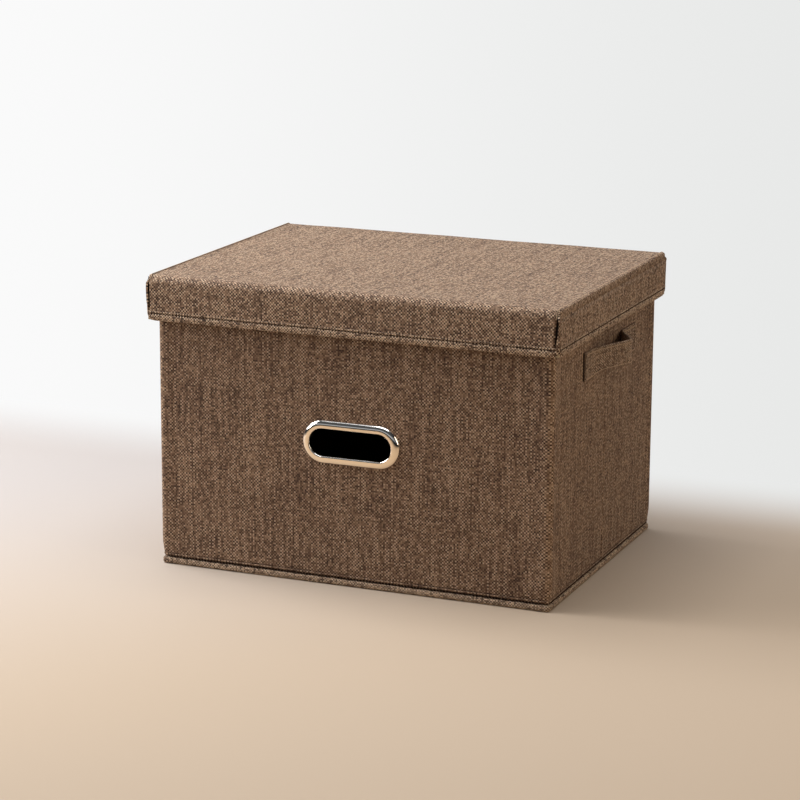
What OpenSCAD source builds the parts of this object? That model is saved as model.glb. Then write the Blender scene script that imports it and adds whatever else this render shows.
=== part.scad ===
// Collapsible storage box: cloth-covered boards, a lift-off lid, a ringed hand hole and two strap handles.
// X runs to the right along the front, Y to the back and Z up. The origin lies on the floor under the
// middle of the box. Every length is in millimetres.

/* [Box] */
// Width of the body over its cloth
box_w = 380; // [320:1:460]
// Depth of the body over its cloth
box_d = 290; // [240:1:360]
// Height of the walls' rim above the floor
rim_z = 268.5; // [240:0.5:340]

/* [Wall layers] */
// Thickness of the outer cloth
cloth_t = 1; // [0.7:0.1:1.4]
// Thickness of the stiff boards in the walls and the lid
board_t = 2.5; // [1.8:0.1:3.2]
// Thickness of the lining
lining_t = 0.6; // [0.4:0.1:0.9]
// Depth of the cloth turned in over the rim
rim_turn = 24; // [12:1:40]

/* [Folding] */
// Gap between the two halves of a side wall at its crease
crease_gap = 0.3; // [0.2:0.1:0.8]
// Radius of the groove pressed along the crease
crease_r = 0.6; // [0.4:0.1:0.9]
// Distance from each board's end to the fold beside it
fold_margin = 1.6; // [1:0.1:4]

/* [Foot] */
// Height of the binding round the foot
binding_h = 7; // [6:0.5:14]
// Thickness of the binding with the cloth edges in it
binding_t = 3; // [2:0.1:4]
// How far the binding stands proud of the wall cloth
binding_proud = 0.5; // [0:0.1:1.5]
// Groove between the binding and the wall cloth above it
binding_gap = 0.4; // [0.2:0.1:1]
// Height of the base cloth's underside above the floor
base_lift = 0.3; // [0:0.1:0.6]
// Thickness of the base cloth
base_cloth_t = 1; // [0.6:0.1:1.4]

/* [Base board] */
// Gap all round the loose base board
insert_gap = 0.8; // [0.4:0.1:3]
// Thickness of the stiff board inside the base board
insert_board_t = 2.4; // [1.6:0.1:3]
// Thickness of the cloth round the base board
insert_cloth_t = 0.7; // [0.5:0.1:0.9]
// Width of the cloth turned under the base board
insert_turn = 25; // [12:1:40]
// Corner radius of the base board
insert_corner_r = 6; // [2:0.5:12]

/* [Hand hole] */
// Height of the hand hole's middle above the floor
grip_z = 133; // [90:1:180]
// Distance between the middles of the hand hole's round ends
grip_straight = 54; // [40:1:80]
// Radius of the ring's opening at its round ends
grip_r = 12.6; // [11:0.1:20]
// Width of the ring's rounded flange
flange_w = 7.6; // [5.6:0.1:9]
// How far the ring's flange stands proud of the cloth
flange_h = 2.9; // [1.8:0.1:3.4]
// Rounding of the flange into the opening
lip_r = 1.4; // [0.8:0.1:1.6]
// Wall of the ring's sleeve
sleeve_t = 1; // [0.6:0.1:1.6]
// Clearance of the sleeve in the wall
sleeve_gap = 0.3; // [0.1:0.1:0.8]
// Width of the clamping ring behind the wall, beyond the sleeve
clamp_w = 5; // [3:0.1:8]
// Thickness of the clamping ring
clamp_t = 1.2; // [0.8:0.1:2]
// Radius of the sleeve's edge, rolled over the clamping ring
roll_r = 0.8; // [0.5:0.1:1.2]

/* [Strap handles] */
// Distance of the straps' middle below the walls' rim
strap_drop = 64; // [62:0.5:110]
// Distance of the straps' middle behind the middle of the box
strap_y = 10; // [-20:0.5:20]
// Width of the strap's sewn ends
strap_w = 26; // [23:0.5:34]
// Width of the strap's loop, which is gathered from below
strap_loop_w = 22; // [16:0.5:22.5]
// Thickness of the folded strap
strap_t = 2; // [1.2:0.1:3]
// Length of each sewn tab
strap_tab = 36; // [24:1:44]
// Length of each tab's end that keeps the full width
strap_end = 12; // [6:1:20]
// Length along the wall of the strap's free loop
strap_span = 73; // [60:1:90]
// How far the loop stands out from the wall
strap_bow = 21; // [14:0.5:26]
// Bend radius where the loop leaves the wall
strap_foot_r = 14; // [8:0.5:20]
// Bend radius at the top of the loop
strap_crown_r = 9; // [6:0.5:14]

/* [Lid] */
// Height of the lid with its hem
lid_h = 41.5; // [30:0.5:60]
// How far the lid's skirt stands outside the body
lid_over = 8.5; // [6:0.5:14]
// Clearance between the walls' rim and the lid
lid_gap = 0.4; // [0.2:0.1:1]
// Radius of the lid's rounded front and back edges
lid_edge_r = 7; // [5:0.5:12]
// Height that the side seams stand proud of the lid's top
seam_proud = 0.4; // [0.2:0.1:1]
// Width of the side seams
seam_w = 0.8; // [0.4:0.1:1]
// Height of the hem tape
hem_h = 9; // [6:0.5:14]
// Thickness of the hem tape
hem_t = 0.7; // [0.4:0.1:1]
// Corner radius of the hem tape
hem_corner_r = 2; // [1:0.5:4]
// Clearance between the edges of the lid's boards
lid_board_gap = 0.3; // [0.1:0.1:1]
// Length of the hollow folds at the ends of the lid's front and back boards
lid_fold_gap = 4; // [1:0.5:8]

/* [Colours] */
// Brown heather cloth
cloth_color = "#6b5340"; // [#6b5340, #8a6f58, #4d3a2c]
// Lighter cloth of the binding and the tapes
tape_color = "#7b6350"; // [#7b6350, #94795f, #5c4838]
// Bare board
board_color = "#a8926f"; // [#a8926f, #c2b08d, #8b8578]
// Lining
lining_color = "#5a4a3d"; // [#5a4a3d, #756354, #3d332b]
// Polished metal
metal_color = "#d4d4d2"; // [#d4d4d2, #b9bcc0, #e6e2d8]

/* [Hidden] */
$fn = 64;
EPS = 0.01;

// Walls: the hinge lines at the corners lie on the walls' inner faces
wall_t = cloth_t + board_t + lining_t;
hinge_x = box_w / 2 - wall_t;
hinge_y = box_d / 2 - wall_t;
wall_z = binding_h + binding_gap;
cover_top = rim_z - cloth_t;
lining_top = rim_z - rim_turn;
board_inset = cloth_t + board_t;

// Foot and base board
binding_x = box_w / 2 + binding_proud;
binding_y = box_d / 2 + binding_proud;
binding_corner_r = wall_t + binding_proud;
base_x = binding_x - binding_t;
base_y = binding_y - binding_t;
base_corner_r = binding_corner_r - binding_t;
insert_x = base_x - insert_gap;
insert_y = base_y - insert_gap;
insert_z = base_lift + base_cloth_t;
insert_h = 2 * insert_cloth_t + insert_board_t;

// Hand hole
sleeve_r = grip_r + sleeve_t;
hole_r = sleeve_r + sleeve_gap;
flange_slope = flange_w * 2 / 3;
flange_crown = grip_r + flange_w - flange_slope;
flange_round = (flange_h * flange_h + flange_slope * flange_slope) / (2 * flange_h);
clamp_y = wall_t + clamp_t;

// Strap: a tab, a foot bend, a straight slanted run and the crown bend, alike on both sides of the crown
strap_z = rim_z - strap_drop;
strap_half = strap_span / 2;
strap_rise = strap_bow - strap_t;
strap_radii = strap_foot_r + strap_crown_r + strap_t;
strap_reach = norm([strap_half, strap_rise - strap_radii]);
strap_slope = atan2(strap_rise - strap_radii, strap_half) + asin(strap_radii / strap_reach);
strap_foot = [strap_half, strap_foot_r + strap_t];
strap_crown = [0, strap_rise - strap_crown_r];
bend_steps = 12;

// Lid
lid_x = box_w / 2 + lid_over;
lid_y = box_d / 2 + lid_over;
lid_top = rim_z + lid_gap + wall_t;
lid_hem_z = lid_top - lid_h;
skirt_z = lid_hem_z + hem_t;
lid_inside_z = lid_top - board_inset;

// ---------- Helpers ----------

// Puts its children, drawn for the right rear, on any side (1 right, -1 left) and end (1 rear, -1 front)
module placed(side, end) {
    mirror([side < 0 ? 1 : 0, 0, 0])
        mirror([0, end < 0 ? 1 : 0, 0])
            children();
}

// Rectangle with round corners, from its half sizes
module round_rect(half_x, half_y, r) {
    square([2 * half_x, 2 * (half_y - r)], center = true);
    square([2 * (half_x - r), 2 * half_y], center = true);
    for (x = [-1, 1], y = [-1, 1])
        translate([x * (half_x - r), y * (half_y - r)])
            circle(r);
}

// Block between two corners
module block(low, high) {
    translate(low)
        cube(high - low);
}

// Outline with two round ends, as wide as the hand hole
module grip_outline(r) {
    square([grip_straight, 2 * r], center = true);
    for (x = [-1, 1])
        translate([x * grip_straight / 2, 0])
            circle(r);
}

// Hand hole right through the front wall
module grip_hole(r) {
    translate([0, -hinge_y + wall_t, grip_z])
        rotate([90, 0, 0])
            linear_extrude(4 * wall_t)
                grip_outline(r);
}

// ---------- Walls ----------

// Plan of a layer of the back wall between two depths under the outer face, round the corners too
module end_wall_plan(outer, inner) {
    translate([-hinge_x, box_d / 2 - inner])
        square([2 * hinge_x, inner - outer]);
    for (x = [-1, 1])
        translate([x * hinge_x, hinge_y])
            intersection() {
                difference() {
                    circle(wall_t - outer);
                    if (inner < wall_t)
                        circle(wall_t - inner);
                }
                translate([x > 0 ? 0 : -wall_t, 0])
                    square(wall_t);
            }
}

module end_wall_cover() {
    translate([0, 0, wall_z])
        linear_extrude(cover_top - wall_z)
            end_wall_plan(0, cloth_t);
}

module end_wall_board() {
    block([fold_margin - hinge_x, hinge_y + lining_t, wall_z],
          [hinge_x - fold_margin, box_d / 2 - cloth_t, cover_top]);
}

module end_wall_lining() {
    block([crease_gap / 2 - hinge_x, hinge_y, wall_z],
          [hinge_x - crease_gap / 2, hinge_y + lining_t, lining_top]);
}

// Cloth over the rim, with a leg turned in above the lining
module end_wall_rim_hem() {
    translate([0, 0, cover_top])
        linear_extrude(cloth_t)
            end_wall_plan(0, wall_t);
    block([crease_gap / 2 - hinge_x, hinge_y, lining_top],
          [hinge_x - crease_gap / 2, hinge_y + lining_t, cover_top]);
}

// The groove along the crease in the middle of a side wall, on the fold line itself
module crease_groove() {
    translate([box_w / 2, 0, 0])
        cylinder(h = rim_z + EPS, r = crease_r);
}

module side_wall_cover() {
    difference() {
        block([box_w / 2 - cloth_t, crease_gap / 2, wall_z], [box_w / 2, hinge_y, cover_top]);
        crease_groove();
    }
}

module side_wall_board() {
    block([hinge_x + lining_t, fold_margin, wall_z],
          [box_w / 2 - cloth_t, hinge_y - fold_margin, cover_top]);
}

module side_wall_lining() {
    block([hinge_x, crease_gap / 2, wall_z],
          [hinge_x + lining_t, hinge_y - crease_gap / 2, lining_top]);
}

module side_wall_rim_hem() {
    difference() {
        union() {
            block([hinge_x, crease_gap / 2, cover_top], [box_w / 2, hinge_y, rim_z]);
            block([hinge_x, crease_gap / 2, lining_top],
                  [hinge_x + lining_t, hinge_y - crease_gap / 2, cover_top]);
        }
        crease_groove();
    }
}

// ---------- Front and back walls ----------

module front_board() {
    color(board_color)
        difference() {
            placed(1, -1) end_wall_board();
            grip_hole(hole_r);
        }
}

module front_cover() {
    color(cloth_color)
        difference() {
            placed(1, -1) end_wall_cover();
            grip_hole(hole_r);
        }
}

module front_lining() {
    color(lining_color)
        difference() {
            placed(1, -1) end_wall_lining();
            grip_hole(hole_r);
        }
}

module front_rim_hem() {
    color(cloth_color)
        placed(1, -1) end_wall_rim_hem();
}

module back_board() {
    color(board_color)
        end_wall_board();
}

module back_cover() {
    color(cloth_color)
        end_wall_cover();
}

module back_lining() {
    color(lining_color)
        end_wall_lining();
}

module back_rim_hem() {
    color(cloth_color)
        end_wall_rim_hem();
}

// ---------- Side walls, each in two halves ----------

module side_board(side, end) {
    color(board_color)
        placed(side, end) side_wall_board();
}

module side_cover(side, end) {
    color(cloth_color)
        placed(side, end) side_wall_cover();
}

module side_lining(side, end) {
    color(lining_color)
        placed(side, end) side_wall_lining();
}

module side_rim_hem(side, end) {
    color(cloth_color)
        placed(side, end) side_wall_rim_hem();
}

// ---------- Foot ----------

// Folded tape sewn round the foot, which the box stands on
module base_binding() {
    color(tape_color)
        linear_extrude(binding_h)
            difference() {
                round_rect(binding_x, binding_y, binding_corner_r);
                round_rect(base_x, base_y, base_corner_r);
            }
}

module base_cloth() {
    color(cloth_color)
        translate([0, 0, base_lift])
            linear_extrude(base_cloth_t)
                round_rect(base_x, base_y, base_corner_r);
}

// ---------- Loose base board ----------

module insert_outline(inset) {
    round_rect(insert_x - inset, insert_y - inset, max(insert_corner_r - inset, EPS));
}

module base_board() {
    color(board_color)
        translate([0, 0, insert_z + insert_cloth_t])
            linear_extrude(insert_board_t)
                insert_outline(insert_cloth_t);
}

// Cloth over the top and sides of the base board, turned under along its edges
module base_board_cover() {
    color(cloth_color)
        translate([0, 0, insert_z])
            difference() {
                linear_extrude(insert_h)
                    insert_outline(0);
                translate([0, 0, insert_cloth_t])
                    linear_extrude(insert_board_t)
                        insert_outline(insert_cloth_t);
                translate([0, 0, -EPS])
                    linear_extrude(insert_cloth_t + 2 * EPS)
                        insert_outline(insert_turn);
            }
}

module base_board_backing() {
    color(lining_color)
        translate([0, 0, insert_z])
            linear_extrude(insert_cloth_t)
                insert_outline(insert_turn);
}

// ---------- Hand hole ----------

// Sweeps its 2D children round the hand hole: X is the distance from the outline's middle line and
// Y the height over the outer face of the front wall
module round_grip() {
    translate([0, -box_d / 2, grip_z])
        rotate([90, 0, 0]) {
            for (side = [-1, 1])
                translate([side * grip_straight / 2, 0, 0])
                    rotate([0, 0, side * 90])
                        rotate([0, 0, 180])
                            rotate_extrude(angle = 180)
                                children();
            for (turn = [0, 180])
                rotate([0, 0, turn])
                    rotate([90, 0, 90])
                        linear_extrude(grip_straight, center = true)
                            children();
        }
}

// Flange that slopes down to the cloth outside and is rounded into the opening
module flange_section() {
    intersection() {
        translate([flange_crown, flange_h - flange_round])
            circle(flange_round);
        translate([flange_crown, 0])
            square([flange_slope, flange_h]);
    }
    translate([grip_r + lip_r, 0])
        square([flange_crown - grip_r - lip_r + EPS, flange_h]);
    translate([grip_r, 0])
        square([lip_r + EPS, flange_h - lip_r]);
    intersection() {
        translate([grip_r + lip_r, flange_h - lip_r])
            circle(lip_r);
        translate([grip_r, flange_h - lip_r - EPS])
            square(lip_r + EPS);
    }
}

// Flange, a sleeve through the wall and its edge rolled over the clamping ring
module hand_hole_ring() {
    color(metal_color)
        round_grip() {
            flange_section();
            translate([grip_r, -clamp_y - roll_r])
                square([sleeve_t, clamp_y + roll_r + EPS]);
            intersection() {
                translate([sleeve_r, -clamp_y])
                    circle(roll_r);
                translate([sleeve_r - EPS, -clamp_y - roll_r])
                    square([roll_r + EPS, roll_r]);
            }
        }
}

module hand_hole_clamp_ring() {
    color(metal_color)
        round_grip()
            translate([sleeve_r, -clamp_y])
                square([clamp_w, clamp_t]);
}

// ---------- Strap handles ----------

// Points along a bend of the strap, from the angle start to the angle stop
function bend(centre, r, start, stop) = [
    for (i = [0:bend_steps])
        let (angle = start + (stop - start) * i / bend_steps)
            centre + r * [cos(angle), sin(angle)]
];

// Half of one face of the strap, from its crown to its end: X along the wall, Y out from it. The face
// lies at the height out over the wall where the strap is sewn down
function strap_face(out) = concat(
    bend(strap_crown, strap_crown_r + out, 90, 90 - strap_slope),
    bend(strap_foot, strap_foot_r + strap_t - out, -90 - strap_slope, -90),
    [[strap_half + strap_tab, out]]
);

function reversed(points) = [for (i = [len(points) - 1:-1:0]) points[i]];

// Outline of the whole strap: the right half, then its mirror image back to the crown
module strap_plan() {
    half = concat(strap_face(strap_t), reversed(strap_face(0)));
    polygon(concat(half, [for (p = reversed(half)) if (p.x > EPS) [-p.x, p.y]]));
}

// Strap from the side: full width at its ends, and gathered from below towards the loop
module strap_side() {
    reach = strap_half + strap_tab;
    rise = strap_w - strap_loop_w;
    half = [[strap_half, rise], [reach - strap_end, 0], [reach + 1, 0], [reach + 1, strap_w + 1]];
    polygon(concat(half, [for (p = reversed(half)) [-p.x, p.y]]));
}

// Strap on the right wall, sewn down at both ends and bowed out between them
module strap() {
    translate([box_w / 2, strap_y, strap_z - strap_w / 2])
        rotate([0, 0, 90])
            mirror([0, 1, 0])
                intersection() {
                    linear_extrude(strap_w)
                        strap_plan();
                    translate([0, strap_bow + 1, 0])
                        rotate([90, 0, 0])
                            linear_extrude(strap_bow + 2)
                                strap_side();
                }
}

module strap_right() {
    color(cloth_color)
        strap();
}

module strap_left() {
    color(cloth_color)
        placed(-1, 1) strap();
}

// ---------- Lid ----------

// Profile of the lid across its depth, at a depth under its outer face and from a lowest height
module lid_profile(inset, low) {
    edge_y = lid_y - lid_edge_r;
    edge_z = lid_top - lid_edge_r;
    translate([inset - lid_y, low])
        square([2 * (lid_y - inset), edge_z - low]);
    translate([-edge_y, low])
        square([2 * edge_y, lid_top - inset - low]);
    for (y = [-1, 1])
        translate([y * edge_y, edge_z])
            circle(lid_edge_r - inset);
}

// Extrudes a profile in Y and Z along X, from one X to another
module along_x(low, high) {
    translate([low, 0, 0])
        rotate([90, 0, 90])
            linear_extrude(high - low)
                children();
}

// One sheet of cloth over the front skirt, the top and the back skirt
module lid_cover() {
    color(cloth_color)
        along_x(cloth_t - lid_x, lid_x - cloth_t)
            difference() {
                lid_profile(0, skirt_z);
                lid_profile(cloth_t, skirt_z - EPS);
            }
}

// Cloth of a side skirt, with its seam standing a little proud along the lid's top edge
module lid_side_cover(side) {
    color(cloth_color)
        placed(side, 1) {
            along_x(lid_x - cloth_t, lid_x)
                lid_profile(0, skirt_z);
            block([lid_x - cloth_t, lid_edge_r - lid_y, lid_top - cloth_t],
                  [lid_x - cloth_t + seam_w, lid_y - lid_edge_r, lid_top + seam_proud]);
        }
}

module lid_top_board() {
    reach = lid_x - cloth_t - lid_board_gap;
    color(board_color)
        block([-reach, lid_edge_r - lid_y, lid_inside_z],
              [reach, lid_y - lid_edge_r, lid_top - cloth_t]);
}

module lid_end_board(end) {
    reach = lid_x - board_inset - lid_fold_gap;
    color(board_color)
        placed(1, end)
            block([-reach, lid_y - board_inset, skirt_z],
                  [reach, lid_y - cloth_t, lid_top - lid_edge_r]);
}

module lid_side_board(side) {
    color(board_color)
        placed(side, 1)
            along_x(lid_x - board_inset, lid_x - cloth_t)
                intersection() {
                    lid_profile(cloth_t + lid_board_gap, skirt_z);
                    translate([-lid_y, skirt_z])
                        square([2 * lid_y, lid_inside_z - lid_board_gap - skirt_z]);
                }
}

// Lining of the lid: a shallow tray upside down, against the boards
module lid_lining() {
    outer = [lid_x - board_inset, lid_y - board_inset];
    color(lining_color)
        difference() {
            block([-outer.x, -outer.y, skirt_z], [outer.x, outer.y, lid_inside_z]);
            block([lining_t - outer.x, lining_t - outer.y, skirt_z - EPS],
                  [outer.x - lining_t, outer.y - lining_t, lid_inside_z - lining_t]);
        }
}

// Plan of the hem between two distances from the skirt's outer face, outwards being positive
module hem_plan(outer, inner) {
    difference() {
        round_rect(lid_x + outer, lid_y + outer, hem_corner_r);
        square([2 * (lid_x + inner), 2 * (lid_y + inner)], center = true);
    }
}

// Tape folded round the lower edge of the skirt
module lid_hem() {
    color(tape_color)
        translate([0, 0, lid_hem_z]) {
            linear_extrude(hem_t)
                hem_plan(hem_t, -wall_t - hem_t);
            linear_extrude(hem_h)
                hem_plan(hem_t, 0);
            linear_extrude(hem_h)
                difference() {
                    square(2 * [lid_x - wall_t, lid_y - wall_t], center = true);
                    square(2 * [lid_x - wall_t - hem_t, lid_y - wall_t - hem_t], center = true);
                }
        }
}

// ---------- What is drawn ----------

front_board();
front_cover();
front_lining();
front_rim_hem();
back_board();
back_cover();
back_lining();
back_rim_hem();
side_board(1, 1);  // right_rear_board
side_cover(1, 1);  // right_rear_cover
side_lining(1, 1);  // right_rear_lining
side_rim_hem(1, 1);  // right_rear_rim_hem
side_board(1, -1);  // right_front_board
side_cover(1, -1);  // right_front_cover
side_lining(1, -1);  // right_front_lining
side_rim_hem(1, -1);  // right_front_rim_hem
side_board(-1, 1);  // left_rear_board
side_cover(-1, 1);  // left_rear_cover
side_lining(-1, 1);  // left_rear_lining
side_rim_hem(-1, 1);  // left_rear_rim_hem
side_board(-1, -1);  // left_front_board
side_cover(-1, -1);  // left_front_cover
side_lining(-1, -1);  // left_front_lining
side_rim_hem(-1, -1);  // left_front_rim_hem
base_binding();
base_cloth();
base_board();
base_board_cover();
base_board_backing();
hand_hole_ring();
hand_hole_clamp_ring();
strap_right();
strap_left();
lid_top_board();
lid_end_board(-1);  // lid_front_board
lid_end_board(1);  // lid_back_board
lid_side_board(1);  // lid_right_board
lid_side_board(-1);  // lid_left_board
lid_cover();
lid_side_cover(1);  // lid_right_cover
lid_side_cover(-1);  // lid_left_cover
lid_lining();
lid_hem();
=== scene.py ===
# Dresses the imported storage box: cloth-covered walls, lid, foot, straps and the chrome hand-hole ring.
# Lengths are in metres. A number times MM, and a point in mm(), is given in millimetres. X runs to the right
# along the front, Y to the back and Z up, as in the CAD frame.
import math

import bmesh
import bpy
from mathutils import Matrix, Vector, noise


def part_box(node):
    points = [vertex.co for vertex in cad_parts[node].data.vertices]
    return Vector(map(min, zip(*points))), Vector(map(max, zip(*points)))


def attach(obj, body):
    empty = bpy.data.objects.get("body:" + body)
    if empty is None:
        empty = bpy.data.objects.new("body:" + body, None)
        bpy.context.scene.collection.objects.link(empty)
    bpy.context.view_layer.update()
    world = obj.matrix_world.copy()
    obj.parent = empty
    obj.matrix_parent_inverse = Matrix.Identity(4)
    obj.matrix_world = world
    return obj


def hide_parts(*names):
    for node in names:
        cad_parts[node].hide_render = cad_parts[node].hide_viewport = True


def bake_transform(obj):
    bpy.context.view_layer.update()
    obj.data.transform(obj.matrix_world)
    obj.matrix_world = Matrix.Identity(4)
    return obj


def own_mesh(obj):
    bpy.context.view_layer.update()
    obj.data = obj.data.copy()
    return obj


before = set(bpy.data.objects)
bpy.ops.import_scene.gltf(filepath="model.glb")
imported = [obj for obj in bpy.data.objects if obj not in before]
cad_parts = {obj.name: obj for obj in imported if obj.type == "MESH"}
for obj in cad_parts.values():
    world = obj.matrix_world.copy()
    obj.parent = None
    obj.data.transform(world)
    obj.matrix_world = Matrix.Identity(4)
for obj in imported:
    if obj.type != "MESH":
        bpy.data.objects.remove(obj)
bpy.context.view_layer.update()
MM = 0.001
TINY = 1e-6  # lengths below this count as nothing
UP = Vector((0, 0, 1))
QUARTER = math.pi / 2


def low(name):
    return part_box(name)[0]


def high(name):
    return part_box(name)[1]


# ---------- Sizes read from the frame ----------
WALL_X = high("right_rear_rim_hem").x
WALL_Y = high("back_cover").y
RIM_Z = high("right_rear_rim_hem").z
COVER_LOW = low("front_cover").z
COVER_TOP = high("front_cover").z
LINING_TOP = high("back_lining").z
HINGE_X = low("right_rear_lining").x
HINGE_Y = low("back_lining").y
WALL_T = WALL_X - HINGE_X
LINING_T = low("back_board").y - HINGE_Y
CLOTH_T = WALL_Y - high("back_board").y
FOOT_X, FOOT_Y = high("base_binding").xy
LID_X = high("lid_right_cover").x
LID_Y = high("lid_cover").y
LID_TOP = high("lid_cover").z
HEM_LOW = low("lid_hem").z
HEM_TOP = high("lid_hem").z
HEM_T = high("lid_hem").x - LID_X
SKIRT_LOW = low("lid_cover").z
LID_INNER_X, LID_INNER_Y, LID_INNER_TOP = high("lid_lining")

# ---------- Sizes of the details ----------
GRID = 7 * MM  # spacing of the points over a cloth panel
ARC_STEPS = 8  # segments in a quarter turn
RING_STEPS = (24, 12, 24, 12, 24)  # segments in the straight sides of the rings of an inner sheet
FLAT = 3.5 * MM  # flat cloth on each side of a hinge strip
LID_EDGE_R = 7 * MM  # rounding of the lid's front and back edges
YARN = 1.54 * MM  # spacing of the body cloth's yarns
STITCH_PITCH = 3.1 * MM
STITCH_SIDES = 6
STITCH_RINGS = (  # places along a stitch, from -0.5 to 0.5, with the rise and the fatness of the thread there
    (-0.5, -0.55, 0.6), (-0.34, 0.1, 0.95), (0, 0.26, 1), (0.34, 0.1, 0.95), (0.5, -0.55, 0.6))


# ---------- Meshes ----------
def new_object(name, data):
    made = bpy.data.objects.new(name, data)
    bpy.context.scene.collection.objects.link(made)
    return made


def mesh_piece(name, points, faces, material, sharp=40):
    """A piece from its points and faces. A face is a list of (point number, (u, v)), u and v in metres."""
    mesh = bpy.data.meshes.new(name)
    mesh.from_pydata(points, [], [[number for number, _ in face] for face in faces])
    layer = mesh.uv_layers.new(name="UVMap")
    layer.data.foreach_set("uv", [value for face in faces for _, uv in face for value in uv])
    mesh.polygons.foreach_set("use_smooth", [True] * len(faces))
    mesh.materials.append(material)
    made = bmesh.new()
    made.from_mesh(mesh)
    bmesh.ops.remove_doubles(made, verts=made.verts, dist=0.002 * MM)
    bmesh.ops.recalc_face_normals(made, faces=made.faces)
    made.to_mesh(mesh)
    made.free()
    mesh.set_sharp_from_angle(angle=math.radians(sharp))
    return new_object(name, mesh)


def quads(rows, columns, corner):
    """Faces of a grid. corner gives the (point number, (u, v)) at a row and a column."""
    return [[corner(a, b) for a, b in ((i, k), (i, k + 1), (i + 1, k + 1), (i + 1, k))]
            for i in range(rows) for k in range(columns)]


def spread(start, stop, step):
    """Evenly spaced values from start to stop, about a step apart."""
    count = max(1, math.ceil(abs(stop - start) / step - TINY))
    return [start + (stop - start) * i / count for i in range(count + 1)]


def mm(*pairs):
    """Flat points given in millimetres."""
    return [(x * MM, y * MM) for x, y in pairs]


def length_of(path):
    return sum(math.dist(a, b) for a, b in zip(path, path[1:]))


def heading(path, i):
    """The direction of a flat path at its point number i."""
    before, after = path[max(i - 1, 0)], path[min(i + 1, len(path) - 1)]
    return Vector((after[0] - before[0], after[1] - before[1])).normalized()


class Outline:
    """A rounded rectangle round the box. Its edge is measured from the middle of the front to the right."""

    def __init__(self, half_x, half_y, radius):
        self.x, self.y, self.r = half_x - radius, half_y - radius, radius
        arc = QUARTER * radius
        self.lengths = [self.x, arc, 2 * self.y, arc, 2 * self.x, arc, 2 * self.y, arc, self.x]
        self.length = sum(self.lengths)
        self.bends = [sum(self.lengths[:i]) for i in range(1, 9)]

    def at(self, u):
        """The point at a length along the edge and the direction out of the box there."""
        left = u % self.length
        side = 0
        while side < 8 and left > self.lengths[side]:
            left -= self.lengths[side]
            side += 1
        turn, rounded = divmod(side, 2)
        angle = (turn - 1) * QUARTER + (left / self.r if rounded else 0)
        out = Vector((math.cos(angle), math.sin(angle), 0))
        x, y = self.x, self.y
        corner = ((0, -y), (x, -y), (x, y), (-x, y), (-x, -y))[turn + rounded]
        along = Vector((-out.y, out.x, 0)) * (0 if rounded else left)
        return Vector((*corner, 0)) + out * self.r + along, out

    def stations(self, start, stop, step=GRID, marks=(), arc_steps=ARC_STEPS):
        """Places along the edge from start to stop, closer round the bends, with marks among them."""
        bends = [b + turn * self.length for turn in (-1, 0, 1) for b in self.bends]
        inside = sorted(b for b in (*bends, *marks) if start + TINY < b < stop - TINY)
        ends = [start, *inside, stop]
        lengths = [start]
        for a, b in zip(ends, ends[1:]):
            if b - a < TINY:
                continue
            middle = self.at((a + b) / 2)[1]
            rounded = abs(middle.x * middle.y) > TINY
            lengths += spread(a, b, self.r * QUARTER / arc_steps if rounded else step)[1:]
        return [(*self.at(u), UP, u) for u in lengths]


def sweep(name, stations, section, material, closed=False, ripple=None, first_v=0, sharp=40):
    """Carries a closed section of (out, up) points along stations, each (place, out, up, u). Ripple gives the
    height of the cloth at (u, up)."""
    v_values = [first_v]
    for a, b in zip(section, [*section[1:], section[0]]):
        v_values.append(v_values[-1] + math.dist(a, b))
    points = []
    used = stations[:-1] if closed else stations
    for place, out, up, u in used:
        for depth, rise in section:
            height = ripple(u, rise) if ripple else 0
            points.append(place + out * (depth + height) + up * rise)
    size, count = len(section), len(used)

    def corner(s, p):
        return (s % count) * size + p % size, (stations[s][3], v_values[p])

    faces = quads(len(stations) - 1, size, corner)
    if not closed:
        faces += [[corner(s, p) for p in range(size)] for s in (0, len(stations) - 1)]
    return mesh_piece(name, points, faces, material, sharp)


def shell(path, thickness):
    """Closed section of a sheet whose outer face follows a path, with round edges. The path's outer side is
    on its right as it is walked."""
    ways = [heading(path, i) for i in range(len(path))]
    inner = [(x - way.y * thickness, y + way.x * thickness) for (x, y), way in zip(path, ways)]

    def end(edge, other, beyond):
        size = math.dist(edge, beyond)
        along = ((edge[0] - beyond[0]) / size, (edge[1] - beyond[1]) / size)
        return [
            tuple(edge[c] + (other[c] - edge[c]) * part + along[c] * thickness * push for c in (0, 1))
            for part, push in ((0.15, 0.35), (0.5, 0.5), (0.85, 0.35))
        ]

    return [*path, *end(path[-1], inner[-1], path[-2]), *inner[::-1], *end(inner[0], path[0], inner[1])]


def bent(points, radius, steps=5):
    """A path with each of its inner corners rounded."""
    path = [points[0]]
    for before, corner, after in zip(points, points[1:], points[2:]):
        corner = Vector(corner)
        a = Vector(before) - corner
        b = Vector(after) - corner
        cut_back = min(radius / math.tan(a.angle(b) / 2), a.length * 0.49, b.length * 0.49)
        first, last = corner + a.normalized() * cut_back, corner + b.normalized() * cut_back
        for t in (i / steps for i in range(steps + 1)):
            path.append(tuple(first.lerp(corner, t).lerp(corner.lerp(last, t), t)))
    path.append(points[-1])
    return path


def filled(path, step=GRID):
    """A path with points added along its long straight stretches."""
    made = [path[0]]
    for a, b in zip(path, path[1:]):
        count = max(1, math.ceil(math.dist(a, b) / step - TINY))
        made += [tuple(p + (q - p) * i / count for p, q in zip(a, b)) for i in range(1, count + 1)]
    return made


def wave(size, height, seed):
    """Smooth unevenness of cloth on a board, as a height over (u, v)."""
    def at(u, v):
        broad = noise.noise(Vector((u / size, v / size, seed)))
        fine = noise.noise(Vector((u / size * 2.7, v / size * 2.7, seed + 40)))
        return height * (broad + 0.35 * fine)
    return at


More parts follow.
